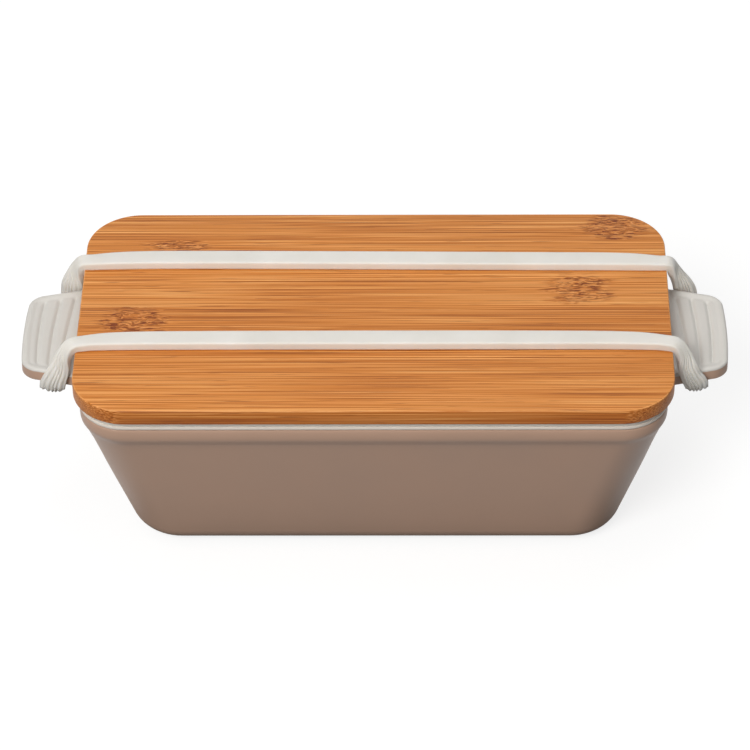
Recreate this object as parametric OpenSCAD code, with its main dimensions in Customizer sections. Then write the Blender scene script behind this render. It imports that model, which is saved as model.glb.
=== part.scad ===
// Bento lunch box: a tapered tub with two ribbed handles, a divider, a sealing inner lid,
// an edge-glued bamboo lid and one elastic band that passes over the lid and under both handles.
// X runs along the long side, +Y is the back, Z is up and the origin is the middle of the base.

/* [Bamboo lid] */
// Length of the lid
lid_l = 200; // [150:1:260]
// Width of the lid
lid_w = 108; // [84:1:150]
// Thickness of the lid's visible edge
lid_t = 5.5; // [3:0.1:9]
// Corner radius of the lid, seen from above
lid_corner_r = 18.5; // [6:0.5:30]
// Height of the locating step under the lid
step_h = 2.5; // [1:0.1:4]
// Width of the narrower strip at the back edge
last_strip_w = 15; // [10:0.5:20]

/* [Tub] */
// Height of the tub to the top of its rim
tub_h = 65.4; // [45:0.1:110]
// How far the tub's side lies inside the lid's edge
rim_inset = 2; // [1:0.1:5]
// Outer corner radius of the tub at its rim
rim_corner_r = 17.4; // [7:0.1:25]
// Height of the upright band that the handles grow from
rim_band_h = 4.9; // [3:0.1:9]
// Height of the lip above that band
lip_h = 1.1; // [0.6:0.1:2]
// How far the lip is set back from the band
lip_inset = 0.4; // [0.2:0.1:1]
// Lean of the tub's walls from upright, in degrees
wall_lean = 15; // [5:0.5:18]
// Thickness of the tub's walls, measured level
wall_t = 2.6; // [1.5:0.1:3.2]
// Thickness of the tub's floor
floor_t = 2.6; // [1.5:0.1:4]
// Outer fillet between the walls and the base
base_fillet_r = 10; // [6:0.5:12]
// Corner radius of the flat base, seen from above
base_corner_r = 8.4; // [5:0.1:12]

/* [Handles] */
// Reach of each handle beyond the tub's side
handle_reach = 21.8; // [18:0.1:30]
// Width of a handle at its tip
handle_tip_w = 38.6; // [30:0.2:44]
// Width of a handle at the tub's side
handle_root_w = 48.8; // [40:0.2:60]
// How far the tip's edge bows out
handle_bow = 1; // [0.4:0.1:2]
// Corner radius of a handle
handle_corner_r = 4.5; // [2:0.1:7]
// Width of the raised border round a handle's top
handle_border = 2.8; // [2:0.1:4]
// Depth of the recess in a handle's top
handle_recess = 1.2; // [0.5:0.1:2]
// Pitch of the grip ribs
rib_pitch = 5; // [3.5:0.1:6]

/* [Inner lid] */
// Thickness of the inner lid's flange
flange_t = 2.3; // [1.5:0.1:4]
// Depth of the plug below the flange
plug_h = 4.6; // [4.2:0.1:6]
// Level gap between the plug and the tub's wall
plug_gap = 1.2; // [0.8:0.1:2]
// Thickness of the plug's wall
plug_wall = 1.8; // [1.4:0.1:3]
// Thickness of the plug's floor
plug_floor = 1.4; // [1:0.1:2]
// Height of the seal in its groove
seal_h = 2; // [1.4:0.1:2.2]
// Depth of the seal's groove
groove_d = 0.8; // [0.5:0.1:1]

/* [Divider] */
// Place of the divider along the tub
divider_x = 18; // [-40:1:40]
// Thickness of the divider's plate
divider_t = 1.6; // [1:0.1:3]
// Distance from the divider's top to the inner lid
divider_headroom = 3; // [1:0.5:10]
// Length of the divider's foot, measured along the tub
foot_l = 11; // [6:0.5:16]

/* [Elastic band] */
// Width of the band on the lid
band_w = 7; // [4:0.1:10]
// Width of the band where it spreads round a handle
band_hook_w = 8.4; // [6:0.1:11]
// Thickness of the band
band_t = 3.1; // [1.5:0.1:3.8]
// Place of the front run across the lid
front_run_y = -18.5; // [-30:0.5:-10]
// Place of the back run across the lid
back_run_y = 25; // [10:0.5:34]
// Distance of the band's hooks outside the tub's side
hook_out = 9.5; // [7:0.1:13]

/* [Clearances] */
// Gap under a piece that rests on another
seat_gap = 0.25; // [0.1:0.05:0.5]
// Level gap round a piece that drops into another
drop_gap = 0.6; // [0.3:0.1:1]
// Gap between a soft piece and what it lies on
soft_gap = 0.3; // [0.2:0.05:0.5]

/* [Hidden] */
strip_count = 6;
strip_w = (lid_w - last_strip_w) / (strip_count - 1);
hull_fn = 32;
round_fn = 96;
slice = 0.01;
cut = 1;

// Tub, from the lid's outline inwards
rim_x = lid_l / 2 - rim_inset;
rim_y = lid_w / 2 - rim_inset;
band_top = tub_h - lip_h;
band_bottom = band_top - rim_band_h;
slope = tan(wall_lean);
mouth_x = rim_x - wall_t;
mouth_y = rim_y - wall_t;
mouth_corner_r = rim_corner_r - wall_t;
cavity_fillet_r = base_fillet_r - wall_t;

// How far the flat of a filleted floor lies inside the top of a wall that leans by wall_lean
function flat_inset(drop, fillet) = slope * (drop - fillet) + fillet / cos(wall_lean);
base_inset = flat_inset(band_bottom, base_fillet_r);
cavity_inset = wall_t + flat_inset(band_bottom - floor_t, cavity_fillet_r);
cavity_corner_r = base_corner_r + base_inset - cavity_inset;

// Inner lid
flange_z = tub_h + seat_gap;
plug_x = mouth_x - plug_gap;
plug_y = mouth_y - plug_gap;
plug_corner_r = mouth_corner_r - plug_gap;
plug_bottom = flange_z - plug_h;
tray_x = plug_x - plug_wall;
tray_y = plug_y - plug_wall;
tray_corner_r = plug_corner_r - plug_wall;
flange_inset = 0.2;
groove_slack = 0.1;
groove_below_flange = 1.2;
groove_z = flange_z - groove_below_flange - seal_h;

// Bamboo lid
lid_z = flange_z + flange_t + seat_gap;
lid_top = lid_z + lid_t;

// Handles
tip_x = rim_x + handle_reach;
handle_top = band_top;
handle_bottom = band_bottom;
bow_r = (pow(handle_tip_w / 2, 2) + pow(handle_bow, 2)) / (2 * handle_bow);
handle_overlap = 12;
rib_count = 5;
rib_share = 0.92;
rib_below_border = 0.3;
rib_half_w = rib_share * rib_pitch / 2;
rib_h = handle_recess - rib_below_border;
rib_r = (pow(rib_half_w, 2) + pow(rib_h, 2)) / (2 * rib_h);

// Elastic band
run_z = lid_top + soft_gap + band_t / 2;
hook_x = rim_x + hook_out;
hook_y = handle_half_w(hook_x) + 1.5 * soft_gap + band_t / 2;
hook_z = handle_bottom - soft_gap - band_t / 2;
edge_x = lid_l / 2;
steps_per_span = 2;

// Half width of a handle at a distance x from the tub's middle
function handle_half_w(x) =
    (handle_root_w + (handle_tip_w - handle_root_w) * (x - rim_x) / handle_reach) / 2;

module outline(half_x, half_y, r) {
    square([2 * (half_x - r), 2 * half_y], center = true);
    square([2 * half_x, 2 * (half_y - r)], center = true);
    for (sx = [-1, 1], sy = [-1, 1])
        translate([sx * (half_x - r), sy * (half_y - r)]) circle(r, $fn = round_fn);
}

module slab(half_x, half_y, r, z, h) {
    translate([0, 0, z]) linear_extrude(h) outline(half_x, half_y, r);
}

// A tapered block: an outline on top, and below it a flat floor whose edge is filleted
module tapered_block(top_x, top_y, top_r, top_z, flat_x, flat_y, flat_r, floor_z, fillet) {
    hull() {
        translate([0, 0, top_z - slice]) linear_extrude(slice)
            for (sx = [-1, 1], sy = [-1, 1])
                translate([sx * (top_x - top_r), sy * (top_y - top_r)]) circle(top_r, $fn = 2 * hull_fn);
        for (sx = [-1, 1], sy = [-1, 1])
            translate([sx * (flat_x - flat_r), sy * (flat_y - flat_r), floor_z + fillet])
                rotate_extrude($fn = hull_fn) intersection() {
                    translate([flat_r, 0]) circle(fillet, $fn = hull_fn);
                    translate([0, -fillet]) square([flat_r + fillet, fillet]);
                }
    }
}

// The outline of the handle at +X, seen from above
module handle_plan() {
    offset(r = handle_corner_r, $fn = 48) offset(delta = -handle_corner_r)
        intersection() {
            polygon([[rim_x - handle_overlap, -handle_half_w(rim_x - handle_overlap)],
                     [tip_x, -handle_tip_w / 2], [tip_x, handle_tip_w / 2],
                     [rim_x - handle_overlap, handle_half_w(rim_x - handle_overlap)]]);
            translate([tip_x - bow_r, 0]) circle(bow_r, $fn = 360);
        }
}

module handle_recess_plan() {
    intersection() {
        offset(delta = -handle_border) handle_plan();
        translate([rim_x, -handle_root_w]) square([handle_reach, 2 * handle_root_w]);
    }
}

// Rounded ribs along Y on the floor of a handle's recess
module grip_ribs() {
    recess_floor = handle_top - handle_recess;
    intersection() {
        translate([0, 0, recess_floor - cut]) linear_extrude(handle_recess + cut) handle_recess_plan();
        for (i = [0 : rib_count - 1])
            translate([tip_x - handle_border - i * rib_pitch, 0, recess_floor + rib_h - rib_r])
                rotate([90, 0, 0]) cylinder(h = handle_root_w, r = rib_r, center = true, $fn = round_fn);
    }
}

module both_ends() {
    children();
    mirror([1, 0, 0]) children();
}

module container() {
    color("#a08779") {
        difference() {
            union() {
                tapered_block(rim_x, rim_y, rim_corner_r, band_bottom,
                              rim_x - base_inset, rim_y - base_inset, base_corner_r, 0, base_fillet_r);
                slab(rim_x, rim_y, rim_corner_r, band_bottom, rim_band_h);
                slab(rim_x - lip_inset, rim_y - lip_inset, rim_corner_r - lip_inset, band_top, lip_h);
                both_ends() translate([0, 0, handle_bottom]) linear_extrude(handle_top - handle_bottom)
                    handle_plan();
            }
            tapered_block(mouth_x, mouth_y, mouth_corner_r, band_bottom + slice, rim_x - cavity_inset,
                          rim_y - cavity_inset, cavity_corner_r, floor_t, cavity_fillet_r);
            slab(mouth_x, mouth_y, mouth_corner_r, band_bottom, rim_band_h + lip_h + cut);
            both_ends() translate([0, 0, handle_top - handle_recess]) linear_extrude(handle_recess + cut)
                handle_recess_plan();
        }
        both_ends() grip_ribs();
    }
}

module divider() {
    top_z = plug_bottom - divider_headroom;
    foot_z = floor_t + soft_gap;
    foot_t = 1.5;
    corner_r = cavity_fillet_r;
    low_y = rim_y - cavity_inset - drop_gap;
    top_y = mouth_y - slope * max(0, band_bottom - top_z) - drop_gap;
    bead_r = 0.9 * divider_t;
    color("#efeae2") translate([divider_x, 0, 0]) {
        translate([-divider_t / 2, 0, 0]) rotate([90, 0, 90]) linear_extrude(divider_t)
            hull() {
                for (s = [-1, 1]) translate([s * low_y, foot_z + corner_r]) circle(corner_r, $fn = round_fn);
                translate([-top_y, top_z - bead_r]) square([2 * top_y, bead_r]);
            }
        translate([-foot_l / 2, -low_y, foot_z]) cube([foot_l, 2 * low_y, foot_t]);
        translate([0, 0, top_z - bead_r]) rotate([90, 0, 0])
            cylinder(h = 2 * top_y - 2 * drop_gap, r = bead_r, center = true, $fn = round_fn);
    }
}

module inner_lid() {
    color("#f6f3ec") difference() {
        union() {
            slab(rim_x - flange_inset, rim_y - flange_inset, rim_corner_r - flange_inset, flange_z, flange_t);
            slab(plug_x, plug_y, plug_corner_r, plug_bottom, plug_h);
        }
        slab(tray_x, tray_y, tray_corner_r, plug_bottom + plug_floor, plug_h + flange_t);
        difference() {
            slab(plug_x + cut, plug_y + cut, plug_corner_r + cut, groove_z, seal_h);
            slab(plug_x - groove_d, plug_y - groove_d, plug_corner_r - groove_d,
                 groove_z - cut, seal_h + 2 * cut);
        }
    }
}

module lid_seal() {
    reach = plug_gap - soft_gap;
    lip = 0.6;
    inset = groove_d - groove_slack;
    bottom = groove_z + groove_slack;
    height = seal_h - 2 * groove_slack;
    color("#e3e0d8") difference() {
        union() {
            slab(plug_x + reach / 2, plug_y + reach / 2, plug_corner_r + reach / 2, bottom, height);
            for (z = [bottom, bottom + height - lip])
                slab(plug_x + reach, plug_y + reach, plug_corner_r + reach, z, lip);
        }
        slab(plug_x - inset, plug_y - inset, plug_corner_r - inset, bottom - cut, height + 2 * cut);
    }
}

// One strip of the bamboo lid, counted from the front edge
module lid_strip(k) {
    from_y = -lid_w / 2 + (k - 1) * strip_w;
    width = k < strip_count ? strip_w : last_strip_w;
    color(k % 2 == 0 ? "#cf8a4e" : "#c67f43") intersection() {
        union() {
            slab(lid_l / 2, lid_w / 2, lid_corner_r, lid_z, lid_t);
            slab(tray_x - drop_gap, tray_y - drop_gap, tray_corner_r - drop_gap, lid_z - step_h, step_h);
        }
        translate([-lid_l, from_y, lid_z - step_h - cut]) cube([2 * lid_l, width, lid_t + step_h + 2 * cut]);
    }
}

function unit(v) = v / norm(v);
function at_left(s) = [[-s[0][0], s[0][1], s[0][2]], [-s[1][0], s[1][1], s[1][2]], s[2]];
function reversed(list) = [for (i = [len(list) - 1 : -1 : 0]) list[i]];

// Stations from a run on the lid round a handle's edge at +X: centre, outward direction and width.
// side is -1 at the front and 1 at the back.
function leg(run_y, side) = let (
        reach_y = side * hook_y - run_y,
        mid_w = (band_w + band_hook_w) / 2,
        off = soft_gap + band_t / 2,
        lean = (handle_root_w - handle_tip_w) / (2 * handle_reach))
    [[[edge_x - 24, run_y, run_z], [0, 0, 1], band_w],
     [[edge_x - 12, run_y, run_z], [0, 0, 1], band_w],
     [[edge_x - 3, run_y + 0.2 * reach_y, run_z + 0.1 * off], [0.15, 0, 1], band_w],
     [[edge_x + 1.3 * off, run_y + 0.5 * reach_y, lid_top + 0.8 * off], [0.72, 0.2 * side, 0.65], mid_w],
     [[hook_x - 3, side * (hook_y - 0.3), lid_z + 1], [0.75, 0.55 * side, 0.4], mid_w],
     [[hook_x - 0.8, side * (hook_y + 0.4), handle_top], [lean, side, 0.1], band_hook_w],
     [[hook_x, side * (hook_y + 0.1), handle_bottom + 1], [lean, side, 0], band_hook_w],
     [[hook_x, side * (hook_y - 0.1 * off), handle_bottom - 0.9 * off], [lean, side, -1], band_hook_w],
     [[hook_x, side * (hook_y - 2 * off), hook_z], [0, 0, -1], band_hook_w]];

half_loop = concat(leg(front_run_y, -1), reversed(leg(back_run_y, 1)));
stations = concat([for (s = half_loop) at_left(s)], reversed(half_loop));

function station(i) = stations[(i + len(stations)) % len(stations)];
function heading(i) = unit(unit(station(i + 1)[0] - station(i)[0]) + unit(station(i)[0] - station(i - 1)[0]));
function curve(a, b, ta, tb, t) = let (len_ab = norm(b - a))
    (2 * pow(t, 3) - 3 * pow(t, 2) + 1) * a + (pow(t, 3) - 2 * pow(t, 2) + t) * len_ab * ta
    + (3 * pow(t, 2) - 2 * pow(t, 3)) * b + (pow(t, 3) - pow(t, 2)) * len_ab * tb;

// The ring of points round the band at t along the span that starts at station i
function band_ring(i, t) = let (
        a = station(i),
        b = station(i + 1),
        centre = curve(a[0], b[0], heading(i), heading(i + 1), t),
        along = unit((1 - t) * heading(i) + t * heading(i + 1)),
        across = unit(cross(along, (1 - t) * a[1] + t * b[1])),
        out = cross(across, along),
        half_w = ((1 - t) * a[2] + t * b[2]) / 2,
        half_t = band_t / 2)
    [for (q = [[-1, -0.4], [-0.85, -1], [0.85, -1], [1, -0.4], [1, 0.4], [0.85, 1], [-0.85, 1], [-1, 0.4]])
        centre + q[0] * half_w * across + q[1] * half_t * out];

module elastic_band() {
    rings = [for (i = [0 : len(stations) - 1], j = [0 : steps_per_span - 1])
        band_ring(i, j / steps_per_span)];
    sides = len(rings[0]);
    count = len(rings) * sides;
    color("#f1efe9") polyhedron(
        points = [for (ring = rings) each ring],
        faces = [for (i = [0 : len(rings) - 1], j = [0 : sides - 1])
            let (a = i * sides + j, b = i * sides + (j + 1) % sides,
                 c = (a + sides) % count, d = (b + sides) % count)
            each [[a, b, d], [a, d, c]]]);
}

container();
divider();
inner_lid();
lid_seal();
for (k = [1 : strip_count]) lid_strip(k);
elastic_band();
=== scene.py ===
import math

import bmesh
import bpy
import numpy as np
from mathutils import Matrix, Vector


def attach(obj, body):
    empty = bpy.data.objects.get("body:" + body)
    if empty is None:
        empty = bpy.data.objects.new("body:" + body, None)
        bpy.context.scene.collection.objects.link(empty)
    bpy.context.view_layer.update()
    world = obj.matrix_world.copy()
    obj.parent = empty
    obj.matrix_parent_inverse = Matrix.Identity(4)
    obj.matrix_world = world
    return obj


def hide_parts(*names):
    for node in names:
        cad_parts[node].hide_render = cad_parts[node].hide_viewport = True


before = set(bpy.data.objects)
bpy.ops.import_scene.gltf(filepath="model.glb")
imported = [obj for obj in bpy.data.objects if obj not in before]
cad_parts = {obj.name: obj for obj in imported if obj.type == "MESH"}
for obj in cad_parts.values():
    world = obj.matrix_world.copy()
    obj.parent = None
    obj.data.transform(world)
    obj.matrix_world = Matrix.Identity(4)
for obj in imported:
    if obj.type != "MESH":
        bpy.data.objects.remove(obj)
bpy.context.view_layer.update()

# The part's own sizes, in millimetres. An outline is (half length, half width, corner radius)
RIM, MOUTH = (98.0, 52.0, 17.4), (95.4, 49.4, 14.8)
RIM_FOOT, TUB_TOP = 59.4, 65.4
LEAN = math.radians(15)
BASE, BASE_FILLET = (74.41, 28.41, 8.4), 10.0
CAVITY_BASE, CAVITY_FILLET, CAVITY_FLOOR = (74.5, 28.5, 8.49), 7.4, 2.6
FILLET_SPAN = (-84, -15)  # degrees from level, from beside the flat base to where the wall starts
HANDLE_TIP, HANDLE_TOP, HANDLE_ROOT_HALF, HANDLE_TIP_HALF = 119.8, 64.3, 24.4, 19.3
HANDLE_CORNER, HANDLE_ROLL = 4.5, 0.9
PLUG, PLUG_Z = (94.2, 48.2, 13.6), 61.05
FLANGE, FLANGE_Z, FLANGE_TOP = (97.8, 51.8, 15.6), 65.65, 67.95
TRAY, TRAY_Z = (92.4, 46.4, 11.8), 62.45
GROOVE_Z, GROOVE_TOP = 62.45, 64.45
LID, LID_Z, LID_TOP = (100.0, 54.0, 18.5), 68.0, 73.7
LID_STEP, STEP_Z = (91.8, 45.8, 11.2), 65.7
STRIP_EDGES = (-54.0, -35.4, -16.8, 1.8, 20.4, 39.0, 54.0)
BAND_T = 3.1

# The studio, in metres: each softbox's name, place, size, power and tint, then the room and the floor
LAMPS = (("key_softbox", (-0.49, -1.2, 1.22), 0.8, 21.0, (1, 0.99, 0.975)),
         ("top_softbox", (0.1, 0.35, 1.45), 1.0, 4.2, (0.985, 0.99, 1)))
LAMP_AIM = Vector((0, 0, 0.05))
ROOM_LEVEL, ROOM_SLOPE, ROOM_RISE = 0.34, -0.13, (0.0, 0.7, 0.5, 1.15)
FLOOR_SIZE, FLOOR_Z, FLOOR_GLOW = 12, -0.0004, 0.79
# The second range sets a painted shadow under the tub's foot, seen only in reflections
FLOOR_FADE, PAINTED_FOOT_SHADOW = (0.3, 0.9), (0.002, 0.03)


# ---------------------------------------------------------------- helpers

def new_object(name, data):
    made = bpy.data.objects.new(name, data)
    bpy.context.collection.objects.link(made)
    return made


def finished_mesh(piece):
    """The mesh of a piece with its modifiers applied."""
    seen = piece.evaluated_get(bpy.context.evaluated_depsgraph_get())
    return bpy.data.meshes.new_from_object(seen)


def colour(red, green, blue):
    """A screen colour, 0 to 255, as the linear colour that a shader takes."""
    return [((v / 255 + 0.055) / 1.055) ** 2.4 if v > 10 else v / 3294.6 for v in (red, green, blue)] + [1.0]


def node(tree, kind, inputs=None, **settings):
    """Adds a node; inputs maps a socket's name or number to a value or to another node's output."""
    made = tree.nodes.new(kind)
    for name, value in settings.items():
        setattr(made, name, value)
    for key, value in (inputs or {}).items():
        if isinstance(value, bpy.types.NodeSocket):
            tree.links.new(value, made.inputs[key])
        else:
            made.inputs[key].default_value = value
    return made


def calc(tree, operation, *values):
    return node(tree, "ShaderNodeMath", dict(enumerate(values)), operation=operation).outputs[0]


def times(tree, first, second):
    return calc(tree, "MULTIPLY", first, second)


def vector_calc(tree, operation, *values):
    inputs = dict(zip((0, 3) if operation == "SCALE" else (0, 1), values))
    result = "Value" if operation == "LENGTH" else "Vector"
    return node(tree, "ShaderNodeVectorMath", inputs, operation=operation).outputs[result]


def split(tree, vector):
    return node(tree, "ShaderNodeSeparateXYZ", {0: vector}).outputs


def joined(tree, *values):
    return node(tree, "ShaderNodeCombineXYZ", dict(enumerate(values))).outputs[0]


def span(tree, value, low, high, to_low=0.0, to_high=1.0, smooth=False):
    """Maps low..high on to to_low..to_high, straight or eased, and holds the value beyond them."""
    inputs = dict(enumerate((value, low, high, to_low, to_high)))
    easing = "SMOOTHSTEP" if smooth else "LINEAR"
    return node(tree, "ShaderNodeMapRange", inputs, interpolation_type=easing).outputs[0]


def mix(tree, share, first, second, blend="MIX"):
    inputs = {0: share, 6: first, 7: second}
    return node(tree, "ShaderNodeMix", inputs, data_type="RGBA", blend_type=blend).outputs[2]


def mix_shaders(tree, share, first, second):
    return node(tree, "ShaderNodeMixShader", {0: share, 1: first, 2: second}).outputs[0]


def emission(tree, strength):
    """White light given off by a surface."""
    return node(tree, "ShaderNodeEmission", {"Color": (1, 1, 1, 1), "Strength": strength}).outputs[0]


def own_place(tree):
    """Where a point lies on the piece itself, in metres."""
    return node(tree, "ShaderNodeTexCoord").outputs["Object"]


def empty_tree(owner):
    owner.use_nodes = True
    owner.node_tree.nodes.clear()
    return owner.node_tree


# ---------------------------------------------------------------- camera, light and floor

def make_camera():
    data = bpy.data.cameras.new("camera")
    data.sensor_width = 36
    data.lens = 181.8
    data.clip_end = 20
    place = (0.02176, -1.00859, 0.86702)
    right = Vector((0.99985795, 0.01233361, -0.01148749))
    up = Vector((0.00111368, 0.63172693, 0.77519020))
    turn = Matrix((right, up, right.cross(up))).transposed()
    camera = new_object("camera", data)
    camera.matrix_world = Matrix.Translation(place) @ turn.to_4x4()
    bpy.context.scene.camera = camera


def make_lamp(name, place, size, power, tint):
    data = bpy.data.lights.new(name, "AREA")
    data.shape = "DISK"
    data.size = size
    data.energy = power
    data.color = tint
    lamp = new_object(name, data)
    lamp.location = place
    lamp.rotation_mode = "QUATERNION"
    lamp.rotation_quaternion = (LAMP_AIM - Vector(place)).to_track_quat("-Z", "Y")


def seen_directly(tree):
    """1 where a surface is seen by the camera, in a reflection or through glass."""
    rays = node(tree, "ShaderNodeLightPath").outputs
    direct = calc(tree, "MAXIMUM", rays["Is Camera Ray"], rays["Is Glossy Ray"])
    return calc(tree, "MAXIMUM", direct, rays["Is Transmission Ray"])


def make_world():
    """A room that lights softly, a little less from the right and from near the floor, and looks white."""
    world = bpy.data.worlds.new("studio")
    bpy.context.scene.world = world
    tree = empty_tree(world)
    toward = split(tree, node(tree, "ShaderNodeTexCoord").outputs["Generated"])
    level = calc(tree, "MULTIPLY_ADD", toward[0], ROOM_SLOPE, ROOM_LEVEL)
    level = times(tree, level, span(tree, toward[2], *ROOM_RISE))
    soft = node(tree, "ShaderNodeBackground", {"Color": (1, 0.995, 0.985, 1), "Strength": level})
    white = node(tree, "ShaderNodeBackground", {"Color": (1, 1, 1, 1), "Strength": 1.0})
    mixed = mix_shaders(tree, seen_directly(tree), soft.outputs[0], white.outputs[0])
    node(tree, "ShaderNodeOutputWorld", {"Surface": mixed})


def floor_look(tree):
    """A floor that glows and takes a soft shadow near the box, and fades to plain white away from it."""
    place = own_place(tree)
    paint = node(tree, "ShaderNodeBsdfDiffuse", {"Color": (0.28, 0.28, 0.278, 1)})
    # Painted shadow: in reflections the glow dies away under the foot of the tub
    reach = split(tree, vector_calc(tree, "ABSOLUTE", place))
    past = calc(tree, "MAXIMUM", calc(tree, "SUBTRACT", reach[0], BASE[0] / 1000),
                calc(tree, "SUBTRACT", reach[1], BASE[1] / 1000))
    lit = calc(tree, "MAXIMUM", node(tree, "ShaderNodeLightPath").outputs["Is Camera Ray"],
               span(tree, past, *PAINTED_FOOT_SHADOW, smooth=True))
    glow = emission(tree, times(tree, lit, FLOOR_GLOW))
    near = node(tree, "ShaderNodeAddShader", {0: paint.outputs[0], 1: glow}).outputs[0]
    away = span(tree, vector_calc(tree, "LENGTH", place), *FLOOR_FADE, smooth=True)
    return mix_shaders(tree, away, near, emission(tree, 1.0))


def make_floor():
    bpy.ops.mesh.primitive_plane_add(size=FLOOR_SIZE, location=(0, 0, FLOOR_Z))
    floor = bpy.context.object
    floor.name = "studio_floor"
    material = bpy.data.materials.new("studio_floor")
    tree = empty_tree(material)
    bounce = node(tree, "ShaderNodeBsdfDiffuse", {"Color": (0.04, 0.039, 0.037, 1)})
    mixed = mix_shaders(tree, seen_directly(tree), bounce.outputs[0], floor_look(tree))
    node(tree, "ShaderNodeOutputMaterial", {"Surface": mixed})
    floor.data.materials.append(material)


make_camera()
make_world()
for lamp in LAMPS:
    make_lamp(*lamp)
make_floor()
bpy.context.scene.view_settings.view_transform = "Standard"


# ---------------------------------------------------------------- finishes

def start_finish(name):
    material = bpy.data.materials.new(name)
    material.use_nodes = True
    tree = material.node_tree
    return material, tree, tree.nodes["Principled BSDF"], own_place(tree)


def settle(shader, **numbers):
    """Sets the shader's plain numbers, such as Sheen_Weight."""
    for label, value in numbers.items():
        shader.inputs[label.replace("_", " ")].default_value = value


def grain(tree, place, stretch, detail, roughness=0.55):
    """Noise whose features are 1 / stretch metres long along each axis."""
    scaled = vector_calc(tree, "MULTIPLY", place, stretch)
    made = node(tree, "ShaderNodeTexNoise", {"Vector": scaled, "Scale": 1.0, "Detail": detail,
                                             "Roughness": roughness})
    return made.outputs[0]


def swing(tree, pattern, low=0.0, high=1.0):
    """Spreads the middle of a noise over low..high."""
    return span(tree, pattern, 0.3, 0.7, low, high)


def dimmed(tint, *shares):
    return [value * share for value, share in zip(tint, (*shares, 1))]


def raise_skin(tree, shader, height, strength, depth):
    """Gives a finish a fine relief, depth metres high."""
    bump = node(tree, "ShaderNodeBump", {"Height": height, "Strength": strength, "Distance": depth})
    tree.links.new(bump.outputs[0], shader.inputs["Normal"])


def moulded_plastic(name, tint, rough, speck=0.03):
    """Satin moulded plastic: faint mottling, a fine moulded skin and slight unevenness in its gloss."""
    material, tree, shader, place = start_finish(name)
    cloud = grain(tree, place, (28, 28, 28), 2)
    fine = grain(tree, place, (2600, 2600, 2600), 2)
    dark = dimmed(tint, 1 - 2 * speck, 1 - 2 * speck, 1 - 2.2 * speck)
    body = mix(tree, swing(tree, cloud), dark, tint)
    body = mix(tree, span(tree, fine, 0.62, 0.8, 0, 0.25), body, dark)
    tree.links.new(body, shader.inputs["Base Color"])
    tree.links.new(swing(tree, cloud, rough - 0.04, rough + 0.04), shader.inputs["Roughness"])
    raise_skin(tree, shader, fine, 0.06, 0.0002)
    settle(shader, Specular_IOR_Level=0.42)
    return material


def silicone(name, tint, rough=0.55):
    """Matt silicone: a dusty bloom, pin-prick specks and a soft skin."""
    material, tree, shader, place = start_finish(name)
    bloom = grain(tree, place, (60, 60, 60), 3)
    fine = grain(tree, place, (3200, 3200, 3200), 2)
    specks = node(tree, "ShaderNodeTexVoronoi", {"Vector": vector_calc(tree, "SCALE", place, 420.0)})
    rare = grain(tree, place, (90, 90, 90), 0)
    speck = times(tree, span(tree, specks.outputs["Distance"], 0.05, 0.09, 1, 0),
                  span(tree, rare, 0.66, 0.68))
    body = mix(tree, swing(tree, bloom), dimmed(tint, 0.93, 0.925, 0.91), tint)
    body = mix(tree, times(tree, speck, 0.5), body, colour(150, 140, 120))
    tree.links.new(body, shader.inputs["Base Color"])
    tree.links.new(swing(tree, bloom, rough - 0.05, rough + 0.05), shader.inputs["Roughness"])
    raise_skin(tree, shader, fine, 0.1, 0.0002)
    settle(shader, Specular_IOR_Level=0.4, Sheen_Weight=0.08, Subsurface_Weight=0.3,
           Subsurface_Radius=(1.0, 0.9, 0.75), Subsurface_Scale=0.003)
    return material


TAUPE = moulded_plastic("taupe_plastic", colour(189, 155, 134), 0.42)
CREAM = moulded_plastic("cream_plastic", colour(209, 206, 200), 0.40, 0.015)
# The tub's cream lip and inside: the cream plastic painted lighter, as painted light
PAINTED_LIT_CREAM = moulded_plastic("cream_plastic_painted_lit", colour(228, 220, 210), 0.38, 0.015)
WHITE = moulded_plastic("white_plastic", colour(246, 241, 232), 0.36, 0.012)
IVORY = moulded_plastic("divider_plastic", colour(233, 227, 214), 0.45, 0.015)
SEAL = silicone("seal_silicone", colour(222, 218, 206), 0.6)
BAND = silicone("band_silicone", colour(229, 226, 220))


# ---------------------------------------------------------------- bamboo

# Lacquered bamboo, from its darkest fibres to its palest: (tone, colour)
FIBRE_COLOURS = ((0.0, colour(128, 62, 14)), (0.30, colour(188, 110, 42)),
                 (0.55, colour(211, 134, 62)), (1.0, colour(246, 184, 114)))
# The second colour is a painted highlight along the lid's rounded top edge
PORE, PAINTED_EDGE_HIGHLIGHT = colour(128, 62, 18), colour(240, 178, 112)
STAIN, PALE_TEAR, DARK_TEAR = colour(188, 108, 42), colour(232, 166, 102), colour(112, 44, 0)
CUT_DARK, CUT_PALE = colour(146, 78, 28), colour(190, 112, 46)
# Painted shade that darkens the lid's front and back sides
PAINTED_SIDE_SHADE = (0.87, 0.76, 0.67, 1)


def ramp(tree, value, stops):
    """Colour by value; each stop is (value, colour)."""
    made = node(tree, "ShaderNodeValToRGB", {0: value})
    elements = made.color_ramp.elements
    for number, (place, tint) in enumerate(stops):
        element = elements[number] if number < 2 else elements.new(place)
        element.position, element.color = place, tint
    return made.outputs[0]


def knuckle_patch(tree, place, ragged, knuckles):
    """How strongly each point lies in a knuckle, 0 to 1."""
    axes = split(tree, place)
    patch = 0.0
    for x, y, half_l, half_w, strength in knuckles:
        along = calc(tree, "DIVIDE", calc(tree, "SUBTRACT", axes[0], x / 1000), half_l / 1000)
        over = calc(tree, "DIVIDE", calc(tree, "SUBTRACT", axes[1], y / 1000), half_w / 1000)
        reach = calc(tree, "SQRT", calc(tree, "ADD", times(tree, along, along), times(tree, over, over)))
        one = span(tree, calc(tree, "ADD", reach, ragged), 1.15, 0.30, smooth=True)
        patch = calc(tree, "MAXIMUM", patch, times(tree, one, strength))
    return patch


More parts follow.
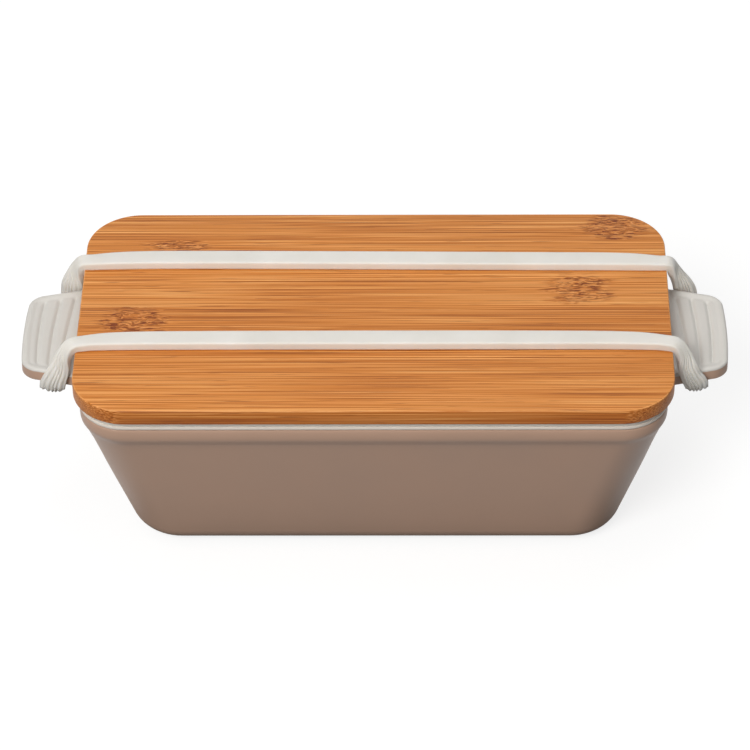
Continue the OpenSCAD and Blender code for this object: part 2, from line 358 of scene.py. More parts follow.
def fibre_colour(tree, fibre, streak, thread, shade):
    """Clear wood: bands, fibres and hair-fine threads add up to a tone, which picks the colour."""
    broad = grain(tree, fibre, (3, 320, 320), 2)
    tone = shade - 0.67
    for pattern, weight in ((broad, 0.13), (streak, 0.31), (thread, 0.90)):
        tone = calc(tree, "MULTIPLY_ADD", pattern, weight, tone)
    body = ramp(tree, span(tree, tone, -0.25, 0.25), FIBRE_COLOURS)
    pores = grain(tree, fibre, (60, 2000, 2000), 1)
    return mix(tree, span(tree, pores, 0.66, 0.72, 0, 0.55), body, PORE)


def knuckle_colour(tree, body, patch, torn):
    """In a knuckle the wood is stained, with torn dark lines and pale ones between them."""
    stained = mix(tree, times(tree, patch, 0.4), body, STAIN)
    pale = times(tree, patch, span(tree, torn, 0.42, 0.34))
    stained = mix(tree, times(tree, pale, 0.7), stained, PALE_TEAR)
    marks = times(tree, span(tree, patch, 0.1, 0.5), span(tree, torn, 0.50, 0.56))
    return mix(tree, times(tree, marks, 0.95), stained, DARK_TEAR)


def edge_colour(tree, body, place):
    """The front and back sides get painted shade, cut ends show the fibres as dots, and the top edge gets a
    painted pale highlight.
    """
    facing = split(tree, node(tree, "ShaderNodeNewGeometry").outputs["True Normal"])
    # Painted shade: faces turned to the front or back are darkened
    body = mix(tree, span(tree, calc(tree, "ABSOLUTE", facing[1]), 0.5, 0.9), body, PAINTED_SIDE_SHADE, "MULTIPLY")
    end = span(tree, calc(tree, "ABSOLUTE", facing[0]), 0.45, 0.95)
    spread = vector_calc(tree, "MULTIPLY", place, (150, 2300, 2300))
    dots = node(tree, "ShaderNodeTexVoronoi", {"Vector": spread})
    cut = mix(tree, span(tree, dots.outputs["Distance"], 0.1, 0.5), CUT_DARK, CUT_PALE)
    body = mix(tree, times(tree, end, 0.5), body, cut)
    # Painted highlight: pale where the rounded top edge turns away from the top, broken up by noise
    edge_highlight = times(tree, span(tree, facing[2], 0.5, 0.7), span(tree, facing[2], 0.99, 0.95))
    edge_highlight = times(tree, edge_highlight, span(tree, grain(tree, place, (70, 300, 300), 2), 0.35, 0.65, 0.0, 0.7))
    return mix(tree, edge_highlight, body, PAINTED_EDGE_HIGHLIGHT)


def bamboo(name, shade, seed, knuckles):
    """Lacquered bamboo with its fibres along X. shade makes the strip lighter or darker. Each knuckle is
    (x, y, half length, half width, strength) in millimetres: a patch where the fibres waver and darken."""
    material, tree, shader, place = start_finish(name)
    shifted = vector_calc(tree, "ADD", place, (seed * 0.37, seed * 0.11, seed * 0.05))
    ragged = swing(tree, grain(tree, shifted, (60, 500, 500), 2), -0.25, 0.25)
    patch = knuckle_patch(tree, place, ragged, knuckles)
    drift = swing(tree, grain(tree, shifted, (7, 20, 20), 1), -0.0002, 0.0002)
    wave = swing(tree, grain(tree, shifted, (150, 300, 300), 1), -0.0006, 0.0006)
    bent = calc(tree, "MULTIPLY_ADD", wave, patch, drift)
    fibre = vector_calc(tree, "ADD", shifted, joined(tree, 0.0, bent, bent))
    streak = grain(tree, fibre, (4, 2500, 2500), 2, 0.6)
    thread = grain(tree, fibre, (12, 3300, 3300), 1, 0.5)
    torn = grain(tree, fibre, (210, 2100, 2100), 2, 0.6)

    body = fibre_colour(tree, fibre, streak, thread, shade)
    body = knuckle_colour(tree, body, patch, torn)
    tree.links.new(edge_colour(tree, body, shifted), shader.inputs["Base Color"])
    tree.links.new(swing(tree, streak, 0.42, 0.56), shader.inputs["Roughness"])
    relief = calc(tree, "MULTIPLY_ADD", torn, patch, times(tree, thread, 0.5))
    raise_skin(tree, shader, relief, 0.2, 0.0003)
    settle(shader, Specular_IOR_Level=0.28)
    return material


# ---------------------------------------------------------------- shapes swept by geometry nodes

def point_mesh(name, points, loop, **attributes):
    """A chain of edges through points, in metres, with a number or a vector stored at each point."""
    mesh = bpy.data.meshes.new(name)
    count = len(points)
    edges = [(i, (i + 1) % count) for i in range(count if loop else count - 1)]
    mesh.from_pydata([tuple(p) for p in points], edges, [])
    for key, values in attributes.items():
        values = np.array(values, float)
        kind, slot = ("FLOAT_VECTOR", "vector") if values.ndim == 2 else ("FLOAT", "value")
        mesh.attributes.new(key, kind, "POINT").data.foreach_set(slot, values.astype(np.float32).ravel())
    return new_object(name, mesh)


def new_tree(name, *inputs):
    """An empty tree with its named inputs: (name, socket kind, starting value)."""
    tree = bpy.data.node_groups.new(name, "GeometryNodeTree")
    for label, kind, value in (("Geometry", "NodeSocketGeometry", None), *inputs):
        made = tree.interface.new_socket(label, in_out="INPUT", socket_type=kind)
        if value is not None:
            made.default_value = value
    tree.interface.new_socket("Geometry", in_out="OUTPUT", socket_type="NodeSocketGeometry")
    return tree, node(tree, "NodeGroupInput").outputs


def named(tree, label, kind="FLOAT_VECTOR"):
    made = node(tree, "GeometryNodeInputNamedAttribute", {"Name": label}, data_type=kind)
    return made.outputs["Attribute"]


def store(tree, geometry, label, value, kind="FLOAT_VECTOR"):
    made = node(tree, "GeometryNodeStoreNamedAttribute", {"Geometry": geometry, "Name": label},
                data_type=kind, domain="POINT")
    tree.links.new(value, made.inputs["Value"])
    return made.outputs["Geometry"]


def ring_curve(tree, points):
    ring = node(tree, "GeometryNodeMeshCircle", {"Vertices": points}).outputs["Mesh"]
    return node(tree, "GeometryNodeMeshToCurve", {"Mesh": ring}).outputs["Curve"]


def swept_along(tree, chain, ring, place, caps):
    """Sweeps ring along the chain of edges and puts each point of the sweep at place."""
    path = node(tree, "GeometryNodeMeshToCurve", {"Mesh": chain}).outputs["Curve"]
    swept = node(tree, "GeometryNodeCurveToMesh", {"Curve": path, "Profile Curve": ring, "Fill Caps": caps})
    moved = node(tree, "GeometryNodeSetPosition", {"Geometry": swept.outputs[0], "Position": place})
    return moved.outputs[0]


def shell_tree():
    """Sweeps a section round a rectangle with rounded corners. Each point of the section holds its half
    length, half width and height, and the corner radius there."""
    tree, given = new_tree("rounded_shell", ("Corner Steps", "NodeSocketInt", 14),
                           ("Outside", "NodeSocketMaterial", None), ("Pale", "NodeSocketMaterial", None))
    steps, quarter = given["Corner Steps"], math.pi / 2
    per_corner = calc(tree, "ADD", steps, 1.0)
    ring = ring_curve(tree, times(tree, per_corner, 4.0))
    index = node(tree, "GeometryNodeInputIndex").outputs[0]
    corner = calc(tree, "FLOOR", calc(tree, "DIVIDE", calc(tree, "ADD", index, 0.5), per_corner))
    step = calc(tree, "SUBTRACT", index, times(tree, corner, per_corner))
    angle = times(tree, calc(tree, "ADD", corner, calc(tree, "DIVIDE", step, steps)), quarter)
    middle = times(tree, calc(tree, "ADD", corner, 0.5), quarter)
    turn = joined(tree, calc(tree, "COSINE", angle), calc(tree, "SINE", angle))
    which = joined(tree, calc(tree, "SIGN", calc(tree, "COSINE", middle)),
                   calc(tree, "SIGN", calc(tree, "SINE", middle)))
    ring = store(tree, store(tree, ring, "turn", turn), "which", which)
    half, radius = named(tree, "half"), named(tree, "corner_r", "FLOAT")
    inner = vector_calc(tree, "SUBTRACT", half, vector_calc(tree, "SCALE", (1.0, 1.0, 0.0), radius))
    signs = vector_calc(tree, "ADD", named(tree, "which"), (0, 0, 1))
    flat_part = vector_calc(tree, "MULTIPLY", inner, signs)
    place = vector_calc(tree, "ADD", flat_part, vector_calc(tree, "SCALE", named(tree, "turn"), radius))
    swept = swept_along(tree, given["Geometry"], ring, place, True)
    painted = node(tree, "GeometryNodeSetMaterial", {"Geometry": swept, "Material": given["Outside"]})
    pale = node(tree, "FunctionNodeCompare", {"A": named(tree, "pale", "FLOAT"), "B": 0.5},
                data_type="FLOAT", operation="GREATER_THAN").outputs[0]
    real = node(tree, "GeometryNodeRealizeInstances", {"Geometry": painted.outputs[0]})
    done = node(tree, "GeometryNodeSetMaterial", {"Geometry": real.outputs[0], "Selection": pale,
                                                  "Material": given["Pale"]})
    node(tree, "NodeGroupOutput", {0: done.outputs[0]})
    return tree


def ribbon_tree():
    """Sweeps the band's flat section along its path. Where the band gathers, ribs rise along it."""
    tree, given = new_tree("ribbed_band", ("Thickness", "NodeSocketFloat", BAND_T / 1000),
                           ("Ribs", "NodeSocketFloat", 5.0), ("Rib Depth", "NodeSocketFloat", 0.0006),
                           ("Unevenness", "NodeSocketFloat", 0.4), ("Crown", "NodeSocketFloat", 0.5),
                           ("Edge Round", "NodeSocketFloat", 0.0006), ("Points", "NodeSocketInt", 128),
                           ("Finish", "NodeSocketMaterial", None))
    edge_round = given["Edge Round"]
    gather, half_w = named(tree, "gather", "FLOAT"), named(tree, "half_width", "FLOAT")
    share = calc(tree, "DIVIDE", node(tree, "GeometryNodeInputIndex").outputs[0], given["Points"])
    ring = store(tree, ring_curve(tree, given["Points"]), "round_share", share, "FLOAT")

    # The share of the way round gives a place on a rectangle: 0 to 0.5 over the top, 0.5 to 1 below
    share = named(tree, "round_share", "FLOAT")
    edge_share, rounded_part = 0.1, 0.6
    wave = calc(tree, "PINGPONG", times(tree, share, 2.0), 1.0)
    across = span(tree, wave, edge_share, 1 - edge_share, 1.0, -1.0)
    top = calc(tree, "SIGN", calc(tree, "SINE", times(tree, share, 2 * math.pi)))
    near_edge = span(tree, calc(tree, "PINGPONG", wave, 0.5), 0.0, edge_share, 1.0, 0.0)
    edge_angle = span(tree, near_edge, 0.0, rounded_part, 0.0, math.pi / 2)
    half_t = calc(tree, "DIVIDE", given["Thickness"], 2.0)
    straight = calc(tree, "SUBTRACT", half_t, edge_round)
    straight = times(tree, straight, span(tree, near_edge, 1.0, rounded_part))
    up = times(tree, top, calc(tree, "MULTIPLY_ADD", edge_round, calc(tree, "COSINE", edge_angle), straight))
    rounded = times(tree, calc(tree, "SIGN", across), calc(tree, "SINE", edge_angle))
    side = calc(tree, "MULTIPLY_ADD", across, calc(tree, "SUBTRACT", half_w, edge_round),
                times(tree, edge_round, rounded))

    # Ribs run along the band, a little unevenly, and its outer face crowns over them
    uneven = calc(tree, "SINE", calc(tree, "MULTIPLY_ADD", across, 4.2, 0.8))
    turns = calc(tree, "MULTIPLY_ADD", across, given["Ribs"], times(tree, uneven, given["Unevenness"]))
    rib = calc(tree, "ABSOLUTE", calc(tree, "COSINE", times(tree, turns, math.pi / 2)))
    rib = times(tree, calc(tree, "SUBTRACT", rib, 1.0), times(tree, given["Rib Depth"], gather))
    bulge = times(tree, times(tree, across, across), times(tree, given["Crown"], gather))
    bulge = calc(tree, "SUBTRACT", 1.0, times(tree, bulge, calc(tree, "MAXIMUM", top, 0.0)))
    up = calc(tree, "MULTIPLY_ADD", up, bulge, times(tree, rib, span(tree, top, -1.0, 1.0, -0.2, 1.0)))
    off = vector_calc(tree, "ADD", vector_calc(tree, "SCALE", named(tree, "across"), side),
                      vector_calc(tree, "SCALE", named(tree, "outward"), up))
    place = vector_calc(tree, "ADD", named(tree, "centre"), off)
    swept = swept_along(tree, given["Geometry"], ring, place, False)
    real = node(tree, "GeometryNodeRealizeInstances", {"Geometry": swept})
    done = node(tree, "GeometryNodeSetMaterial", {"Geometry": real.outputs[0], "Material": given["Finish"]})
    node(tree, "NodeGroupOutput", {0: done.outputs[0]})
    return tree


def grown(source, tree, **inputs):
    """Runs a tree on source and returns the result as a plain mesh object in its place."""
    modifier = source.modifiers.new("grow", "NODES")
    modifier.node_group = tree
    sockets = {item.name: item.identifier for item in tree.interface.items_tree if item.in_out == "INPUT"}
    for label, value in inputs.items():
        modifier[sockets[label.replace("_", " ")]] = value
    source.update_tag()
    mesh = finished_mesh(source)
    name, old = source.name, source.data
    bpy.data.objects.remove(source)
    bpy.data.meshes.remove(old)
    for label in ("half", "corner_r", "turn", "which", "pale", "round_share", "half_width", "gather",
                  "centre", "across", "outward"):
        if label in mesh.attributes:
            mesh.attributes.remove(mesh.attributes[label])
    return new_object(name, mesh)


def tidy_mesh(piece, sharp=32.0):
    """Merges doubles, points the faces outwards and shades the piece smoothly except at its sharp edges."""
    work = bmesh.new()
    work.from_mesh(piece.data)
    bmesh.ops.remove_doubles(work, verts=work.verts, dist=1e-6)
    bmesh.ops.recalc_face_normals(work, faces=work.faces)
    work.to_mesh(piece.data)
    work.free()
    piece.data.shade_smooth()
    piece.data.set_sharp_from_angle(angle=math.radians(sharp))
    return piece


SHELL = shell_tree()


def shell(name, section, outside, pale=None, loop=False, steps=14):
    """A closed shell from a section, whose points are (half length, half width, corner radius, height, 1
    where it is pale) in millimetres."""
    points = np.array(section, float)
    half = points[:, [0, 1, 3]] / 1000
    spots = np.column_stack([np.zeros(len(points)), half[:, 0], half[:, 2]])
    source = point_mesh(name, spots, loop, half=half, corner_r=points[:, 2] / 1000, pale=points[:, 4])
    made = grown(source, SHELL, Corner_Steps=steps, Outside=outside, Pale=pale or outside)
    return tidy_mesh(made)


def shrunk(outline, by):
    return outline[0] - by, outline[1] - by, max(outline[2] - by, 0.1)


def rows(outline, *steps, pale=0):
    """Section points from steps of (how far in from the outline, height)."""
    return [(*shrunk(outline, by), z, pale) for by, z in steps]


def fillet(outline, radius, centre_z, start, end, pale=0):
    """Section points on an arc round a centre on the outline at height centre_z. start and end are degrees
    from level."""
    point_count = 12
    arc = [(math.cos(a), math.sin(a)) for a in np.radians(np.linspace(start, end, point_count))]
    return [(*(size + radius * out for size in outline), centre_z + radius * up, pale) for out, up in arc]


# ---------------------------------------------------------------- tub

def smooth(t):
    t = np.clip(t, 0, 1)
    return t * t * (3 - 2 * t)


def rolled(gap):
    """How far a handle's rolled edge falls away at gap in from it."""
    return HANDLE_ROLL - np.sqrt(np.maximum(HANDLE_ROLL ** 2 - np.maximum(HANDLE_ROLL - gap, 0) ** 2, 0))


def handle_half(x):
    """Half the width of a handle at x."""
    along = (x - RIM[0]) / (HANDLE_TIP - RIM[0])
    return HANDLE_ROOT_HALF + (HANDLE_TIP_HALF - HANDLE_ROOT_HALF) * along


def handle_height(x, y, side_gap):
    """Height of a handle's top at x and y, side_gap in from its flank: a rolled edge, a raised border and
    a shallow dish with grooves and low crests between them, which fan out a little towards the back."""
    border, dish_run, dish_depth = 1.7, 1.3, 0.42
    grooves, first_groove, groove_step, fan = 4, 114.4, 4.75, 0.035
    groove_depth, groove_half, crest_height, crest_half = 0.62, 0.72, 0.14, 2.4
    end_gap, end_run = 3.2, 1.6
    tip_gap = HANDLE_TIP - x
    over = np.hypot(np.maximum(HANDLE_CORNER - tip_gap, 0), np.maximum(HANDLE_CORNER - side_gap, 0))
    in_corner = (tip_gap < HANDLE_CORNER) & (side_gap < HANDLE_CORNER)
    gap = np.maximum(np.where(in_corner, HANDLE_CORNER - over, np.minimum(tip_gap, side_gap)), 0)
    height = -rolled(gap) - dish_depth * smooth((gap - border) / dish_run)
    ends = smooth((side_gap - end_gap) / end_run)
    for number in range(grooves):
        away = x - (first_groove - groove_step * number - fan * number * y)
        height = height - groove_depth * np.exp(-(away / groove_half) ** 2) * ends
        height = height + crest_height * ends * np.clip(1 - ((away - crest_half) / crest_half) ** 2, 0, 1)
    return height


def handle_mesh(side):
    """A handle as a closed block with a shaped top; side is 1 or -1."""
    root, bow, proud = RIM[0] - 1.9, 1.0, 0.03
    straight_count, turn_count, inner_count = 56, 14, 61
    straight = np.linspace(root, HANDLE_TIP - HANDLE_CORNER, straight_count)
    turns = np.linspace(0, math.pi / 2, turn_count + 1)[1:]
    xs = np.concatenate([straight, HANDLE_TIP - HANDLE_CORNER + HANDLE_CORNER * np.sin(turns)])
    shrink = np.concatenate([np.zeros(len(straight)), HANDLE_CORNER * (1 - np.cos(turns))])
    fine = np.array([0, 0.04, 0.14, 0.3, 0.55, HANDLE_ROLL])
    count, columns = len(xs), len(fine) * 2 + inner_count
    tops, lows = [], []
    for x, less in zip(xs, shrink):
        half = handle_half(x)
        edge = half - less
        inner = np.linspace(-(edge - HANDLE_ROLL), edge - HANDLE_ROLL, inner_count + 2)[1:-1]
        y = np.concatenate([-(edge - fine), inner, (edge - fine)[::-1]])
        bend = bow * (y / HANDLE_TIP_HALF) ** 2 * smooth((x - root) / (HANDLE_TIP - root))
        top = handle_height(x, y, np.maximum(half - np.abs(y), 0))
        tops.append(np.column_stack([x - bend, y, HANDLE_TOP + proud + top]))
        tip_gap = HANDLE_TIP - x if less > 0 else math.inf
        gap = np.maximum(np.minimum(tip_gap, edge - np.abs(y)), 0)
        lows.append(np.column_stack([x - bend, y, RIM_FOOT + proud + rolled(gap)]))
    points = np.concatenate(tops + lows)
    points[:, 0] *= side
    low = count * columns
    faces, finish = [], []

    def cell(i, j):
        return i * columns + j

    for i in range(count - 1):
        for j in range(columns - 1):
            quad = (cell(i, j), cell(i + 1, j), cell(i + 1, j + 1), cell(i, j + 1))
            faces += [quad, tuple(low + q for q in quad[::-1])]
            finish += [1, 0]
    border = ([cell(0, j) for j in range(columns)] + [cell(i, columns - 1) for i in range(1, count)]
              + [cell(count - 1, j) for j in range(columns - 2, -1, -1)]
              + [cell(i, 0) for i in range(count - 2, 0, -1)])
    for a, b in zip(border, border[1:] + border[:1]):
        faces.append((a, b, low + b, low + a))
        finish.append(0)
    mesh = bpy.data.meshes.new("handle")
    mesh.from_pydata((points / 1000).tolist(), [], faces)
    mesh.polygons.foreach_set("material_index", finish)
    mesh.materials.append(TAUPE)
    mesh.materials.append(CREAM)
    return tidy_mesh(new_object("handle", mesh))


def join_solids(main, *others):
    """Unites closed solids into main with an exact boolean."""
    for other in others:
        joint = main.modifiers.new("join", "BOOLEAN")
        joint.operation, joint.solver, joint.object = "UNION", "EXACT", other
        joint.material_mode = "TRANSFER"
        main.data = finished_mesh(main)
        main.modifiers.clear()
        bpy.data.objects.remove(other)
    return tidy_mesh(main, 30)


def tub_outside():
    """Section of the tub's outside: the foot, the leaning wall with a crease under the rim, the rolled rim,
    a groove and the lip."""
    swell, swell_run, end_bulge, end_run = 0.5, 30, 0.12, 10
    setback, crease, crease_run, wall_run = 0.20, 0.88, 4.2, 52
    tighter, tighter_run, corner_growth = 1.7, 14, 0.0127
    base = (BASE[0] + swell, *BASE[1:])
    section = rows(base, (0, 0.0)) + fillet(base, BASE_FILLET, BASE_FILLET, *FILLET_SPAN)
    for z in (14, 20, 28, 36, 43, 49, 53, 55.5, 56.5, 57.0, 57.4, 57.8, 58.2, 58.6, 59.0, 59.4):
        drop = RIM_FOOT - z
        lean = drop * math.tan(LEAN)
        end_wall = lean + end_bulge * max(1 - drop / end_run, 0) - swell * float(smooth(drop / swell_run))
        front_wall = lean + (setback + crease * float(smooth(drop / crease_run))) * (1 - drop / wall_run)
        corner_r = RIM[2] + corner_growth * drop - tighter * (1 - float(smooth(drop / tighter_run)))
        section.append((RIM[0] - end_wall, RIM[1] - front_wall, corner_r, z, 0))
    rim = (*RIM[:2], RIM[2] - tighter)
    # (height, how far the rim is set back at the ends and at the front)
    for z, end_wall, front_wall in ((59.9, 0.05, 0.10), (60.4, 0.02, 0.04), (61.0, 0, 0), (61.6, 0, 0.01),
                                    (62.2, 0.01, 0.05), (62.8, 0.03, 0.13), (63.3, 0.1, 0.25),
                                    (63.6, 0.24, 0.4)):
        section.append((rim[0] - end_wall, rim[1] - front_wall, rim[2], z, 0))
    section += rows(rim, (0.56, 63.66))
    lip = rows(rim, (0.58, 63.72), (0.56, 63.84), (0.26, 63.92), (0.08, 64.1), (0.0, 64.35), (0.0, 64.7),
               (0.1, 64.93), (0.35, 65.06), (0.7, 65.14), (0.95, 65.3), (1.2, TUB_TOP), pale=1)
    return section + lip


def tub_inside():
    mouth = rows(MOUTH, (-0.35, TUB_TOP), (-0.12, TUB_TOP - 0.08), (0, TUB_TOP - 0.3), (0, RIM_FOOT + 0.2),
                 (0.05, RIM_FOOT - 0.1), pale=1)
    foot = fillet(CAVITY_BASE, CAVITY_FILLET, CAVITY_FLOOR + CAVITY_FILLET, *FILLET_SPAN[::-1], pale=1)
    return mouth + foot + rows(CAVITY_BASE, (0, CAVITY_FLOOR), pale=1)


def make_tub():
    # The pale lip and inside take the cream painted lighter, as painted light
    tub = shell("tub", tub_outside() + tub_inside(), TAUPE, PAINTED_LIT_CREAM)
    tub = join_solids(tub, handle_mesh(1), handle_mesh(-1))
    tub.name = "tub"
    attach(tub, "container")
    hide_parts("container")


# ---------------------------------------------------------------- inner lid, seal and divider

def make_inner_lid():
    """The plug with a groove for the seal, the flange with a lip over the rim, and a shallow tray."""
    neck = shrunk(PLUG, 0.8)
    section = rows(PLUG, (1.4, PLUG_Z), (0.5, PLUG_Z + 0.1), (0.1, PLUG_Z + 0.5), (0, PLUG_Z + 1.0),
                   (0, GROOVE_Z - 0.15), (0.15, GROOVE_Z))
    section += rows(neck, (0.1, GROOVE_Z), (0, GROOVE_Z + 0.1), (0, GROOVE_TOP - 0.1), (0.1, GROOVE_TOP))
    section += rows(PLUG, (0.15, GROOVE_TOP), (0, GROOVE_TOP + 0.15), (0, FLANGE_Z - 0.4),
                    (-0.12, FLANGE_Z - 0.1), (-0.4, FLANGE_Z))
    section += rows(FLANGE, (0.8, FLANGE_Z), (0.6, FLANGE_Z - 0.2), (0.3, FLANGE_Z - 0.25),
                    (0.12, FLANGE_Z - 0.2), (0, FLANGE_Z), (0, FLANGE_TOP - 0.6), (0.15, FLANGE_TOP - 0.22),
                    (0.5, FLANGE_TOP))
    section += rows(TRAY, (-0.6, FLANGE_TOP), (-0.18, FLANGE_TOP - 0.16), (0, FLANGE_TOP - 0.55),
                    (0, TRAY_Z + 1.4), (0.35, TRAY_Z + 0.5), (1.0, TRAY_Z + 0.1), (1.7, TRAY_Z),
                    (7.0, TRAY_Z), (7.5, TRAY_Z + 0.12), (7.9, TRAY_Z + 0.42), (8.4, TRAY_Z + 0.55))
    lid = shell("inner_lid_moulding", section, WHITE)
    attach(lid, "inner_lid")
    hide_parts("inner_lid")


def make_seal():
    """A ring that fills the plug's groove, with a soft fin above and below its body."""
    root, body, fin = shrunk(PLUG, 0.7), shrunk(PLUG, -0.45), shrunk(PLUG, -0.9)
    low, high = GROOVE_Z + 0.1, GROOVE_TOP - 0.1
    section = rows(root, (0, low + 0.1), (-0.1, low))
    section += rows(fin, (0.25, low), (0.05, low + 0.1), (0, low + 0.28), (0.08, low + 0.46))
    section += rows(body, (0.05, low + 0.62), (0, low + 0.75), (0, high - 0.75), (0.05, high - 0.62))
    section += rows(fin, (0.08, high - 0.46), (0, high - 0.28), (0.05, high - 0.1), (0.25, high))
    section += rows(root, (-0.1, high), (0, high - 0.1))
    seal = shell("seal_ring", section, SEAL, loop=True)
    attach(seal, "inner_lid")
    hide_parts("lid_seal")


def make_divider():
    """A merged copy of the CAD divider with its edges rounded."""
    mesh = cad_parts["divider"].data.copy()
    divider = new_object("divider_plate", mesh)
    mesh.materials.clear()
    mesh.materials.append(IVORY)
    work = bmesh.new()
    work.from_mesh(mesh)
    bmesh.ops.remove_doubles(work, verts=work.verts, dist=2e-6)
    bmesh.ops.dissolve_limit(work, angle_limit=math.radians(1.5), verts=work.verts, edges=work.edges)
    work.to_mesh(mesh)
    work.free()
    edge = divider.modifiers.new("edge", "BEVEL")
    edge.width, edge.segments, edge.limit_method, edge.angle_limit = 0.0003, 3, "ANGLE", math.radians(40)
    divider.data = finished_mesh(divider)
    divider.modifiers.clear()
    tidy_mesh(divider, 35)
    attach(divider, "divider")
    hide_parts("divider")


# ---------------------------------------------------------------- bamboo lid

# Each strip from front to back: (lighter or darker, seed, knuckles)
STRIP_LOOKS = ((0.0, 1, ()),
               (-0.03, 2, ()),
               (-0.05, 3, ((-81.5, -6.5, 12.5, 9.5, 1.0),)),
               (0.01, 4, ((70, 12, 14, 11.5, 0.55),)),
               (0.01, 5, ((-68, 36, 13, 4, 0.8),)),
               (-0.02, 6, ((83, 45.8, 14, 7.5, 1.0),)))


def cut_strip(mesh, edges):
    """Cuts mesh off beyond each of the two strip edges and closes the cuts."""
    work = bmesh.new()
    work.from_mesh(mesh)
    for edge, outward in zip(edges, (-1, 1)):
        if abs(edge) < LID[1]:
            everything = work.verts[:] + work.edges[:] + work.faces[:]
            cut = bmesh.ops.bisect_plane(work, geom=everything, plane_co=(0, edge / 1000, 0),
                                         plane_no=(0, outward, 0), clear_outer=True, dist=1e-7)
            rim = [e for e in cut["geom_cut"] if isinstance(e, bmesh.types.BMEdge)]
            bmesh.ops.contextual_create(work, geom=rim)
    work.to_mesh(mesh)
    work.free()


def make_bamboo_lid():
    section = rows(LID_STEP, (0.6, STEP_Z), (0.18, STEP_Z + 0.16), (0, STEP_Z + 0.6), (0, LID_Z))
    section += rows(LID, (0.35, LID_Z), (0.18, LID_Z + 0.05), (0.05, LID_Z + 0.18), (0, LID_Z + 0.35),
                    (0, LID_TOP - 0.5), (0.04, LID_TOP - 0.31), (0.15, LID_TOP - 0.15),
                    (0.31, LID_TOP - 0.04), (0.5, LID_TOP))
    whole = shell("lid", section, None, steps=24)
    for number, (shade, seed, knuckles) in enumerate(STRIP_LOOKS, 1):
        mesh = whole.data.copy()
        cut_strip(mesh, STRIP_EDGES[number - 1:number + 1])
        strip = new_object(f"bamboo_strip_{number}", mesh)
        mesh.materials.clear()
        mesh.materials.append(bamboo(f"bamboo_{number}", shade, seed, knuckles))
        tidy_mesh(strip, 30)
        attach(strip, "bamboo_lid")
        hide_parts(f"lid_strip_{number}")
    bpy.data.objects.remove(whole)


# ---------------------------------------------------------------- elastic band

RUN_Z = LID_TOP + BAND_T / 2 + 0.05
UNDER_Z = RIM_FOOT - BAND_T / 2 - 0.15

# Stations down the front legs and up the back legs, at the right end and at the left: (x, y, z), outward
# direction, width and how far the band is gathered into ribs. x is measured outwards at both ends
RIGHT_FRONT = (((103.9, -22.2, 71.5), (0.57, -0.70, 0.42), 5.2, 0.3),
               ((105.1, -23.3, 67.4), (0.12, -0.93, 0.18), 6.5, 0.6),
               ((106.6, -24.2, 63.6), (0.27, -0.95, 0.08), 7.2, 1.0))
LEFT_FRONT = (((104.0, -22.2, 71.5), (0.57, -0.70, 0.42), 5.6, 0.3),
              ((105.3, -23.3, 67.4), (0.32, -0.93, 0.18), 6.9, 0.6),
              ((107.1, -24.2, 63.6), (0.27, -0.95, 0.08), 8.0, 1.0))
RIGHT_BACK = (((107.1, 25.5, 60.8), (0.20, -0.97, 0.05), 8.0, 1.0),
              ((106.0, 25.3, 64.6), (0.30, -0.92, 0.25), 7.0, 0.8),
              ((104.2, 24.8, 68.6), (0.52, -0.72, 0.42), 5.4, 0.5),
              ((102.5, 24.2, 72.0), (0.62, -0.42, 0.62), 5.0, 0.2),
              ((100.9, 23.6, 75.0), (0.55, -0.10, 0.81), 5.1, 0.1),
              ((97.0, 23.6, RUN_Z), (0.1, 0, 1), 5.6, 0.1),
              ((90.0, 24.1, RUN_Z), (0, 0, 1), 6.4, 0.0),
              ((80.0, 24.5, RUN_Z), (0, 0, 1), 6.9, 0.0),
              ((60.0, 24.7, RUN_Z), (0, 0, 1), 7.0, 0.0))
LEFT_BACK = (((105.2, 25.8, 60.8), (0.23, -0.97, 0.05), 8.2, 1.0),
             ((104.9, 25.6, 64.6), (0.25, -0.95, 0.10), 7.9, 0.9),
             ((103.9, 25.2, 68.6), (0.45, -0.80, 0.30), 6.8, 0.6),
             ((102.8, 24.9, 71.9), (0.60, -0.50, 0.50), 5.8, 0.3),
             ((101.0, 24.6, 74.9), (0.52, -0.15, 0.81), 5.3, 0.1),
             ((97.0, 24.6, RUN_Z), (0.1, 0, 1), 5.9, 0.1),
             ((90.0, 25.2, RUN_Z), (0, 0, 1), 6.5, 0.0),
             ((80.0, 25.7, RUN_Z), (0, 0, 1), 6.9, 0.0),
             ((60.0, 25.8, RUN_Z), (0, 0, 1), 7.0, 0.0))


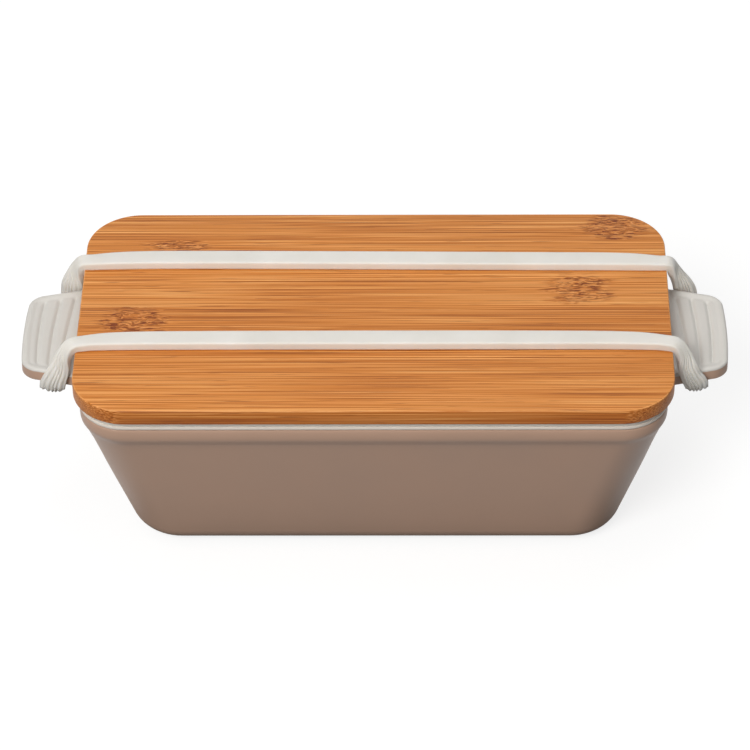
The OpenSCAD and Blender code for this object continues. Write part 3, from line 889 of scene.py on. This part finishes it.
def band_end(side, front_leg, back_leg, back_x, front_w, back_w):
    """The stations of one end of the band, from its front run, under the handle, to its back run; side is 1
    or -1. The band takes half a turn under the handle, so that its outer face shows on both legs."""
    front_x = 108.5
    middle = (front_x + back_x) / 2
    front_run = (((60, -18.6, RUN_Z), (0, 0, 1), 7.0, 0.0),
                 ((80, -18.8, RUN_Z), (0, 0, 1), 6.8, 0.0),
                 ((90, -19.2, RUN_Z), (0, 0, 1), 6.4, 0.05),
                 ((97, -20.1, RUN_Z), (0.1, 0, 1), 5.7, 0.1),
                 ((101.1, -21.1, 75.0), (0.48, -0.26, 0.84), 5.3, 0.1))
    hook = (((front_x - 0.3, -24.0, 60.6), (0.23, -0.97, -0.05), front_w, 1.0),
            ((front_x, -22.8, 58.4), (0.1, -0.72, -0.69), front_w, 1.0),
            ((front_x, -19.0, UNDER_Z), (0, 0, -1), front_w, 0.9),
            ((middle + 0.4, -7.5, UNDER_Z - 1.5), (0.8, 0, -0.6), 5.4, 0.8),
            ((middle, 0, UNDER_Z - 2.0), (1, 0, 0), 5.0, 0.8),
            ((middle - 0.4, 7.5, UNDER_Z - 1.5), (0.8, 0, 0.6), 5.4, 0.8),
            ((back_x, 19.0, UNDER_Z - 0.2), (0, 0, 1), back_w, 0.9),
            ((back_x, 24.5, 57.9), (0.15, -0.74, 0.67), back_w, 1.0))
    return [np.array([x * side, y, z, out[0] * side, out[1], out[2], width, gather])
            for (x, y, z), out, width, gather in front_run + front_leg + hook + back_leg]


def band_path(knots):
    """Points along a smooth closed curve through the knots, closer together where the band bends."""
    count, path = len(knots), []
    fewest, most, step_length = 4, 16, 0.45
    for i in range(count):
        before, here, after, later = (knots[(i + k) % count] for k in (-1, 0, 1, 2))
        gap_a, gap, gap_b = (max(np.linalg.norm(end[:3] - start[:3]), 0.1) ** 0.5
                             for start, end in ((before, here), (here, after), (after, later)))
        step = (after - here) / gap
        slope_a = ((here - before) / gap_a - (after - before) / (gap_a + gap) + step) * gap
        slope_b = (step - (later - here) / (gap + gap_b) + (later - after) / gap_b) * gap
        steps = max(fewest, min(most, int(np.linalg.norm(after[:3] - here[:3]) / step_length)))
        for t in np.arange(steps) / steps:
            path.append((2 * t ** 3 - 3 * t ** 2 + 1) * here + (t ** 3 - 2 * t ** 2 + t) * slope_a
                        + (3 * t ** 2 - 2 * t ** 3) * after + (t ** 3 - t ** 2) * slope_b)
    return np.array(path)


def unit(vectors):
    return vectors / np.linalg.norm(vectors, axis=1)[:, None]


def make_band():
    right = band_end(1, RIGHT_FRONT, RIGHT_BACK, back_x=107.2, front_w=7.8, back_w=8.0)
    left = band_end(-1, LEFT_FRONT, LEFT_BACK, back_x=105.3, front_w=8.6, back_w=8.2)
    path = band_path(left + right[::-1])
    centre = path[:, :3]
    along = unit(np.roll(centre, -1, 0) - np.roll(centre, 1, 0))
    across = unit(np.cross(along, path[:, 3:6]))
    source = point_mesh("band_loop", centre / 1000, True, centre=centre / 1000, across=across,
                        outward=np.cross(across, along), half_width=path[:, 6] / 2000, gather=path[:, 7])
    band = grown(source, ribbon_tree(), Finish=BAND)
    tidy_mesh(band, 50)
    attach(band, "elastic_band")
    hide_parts("elastic_band")


make_tub()
make_inner_lid()
make_seal()
make_divider()
make_bamboo_lid()
make_band()
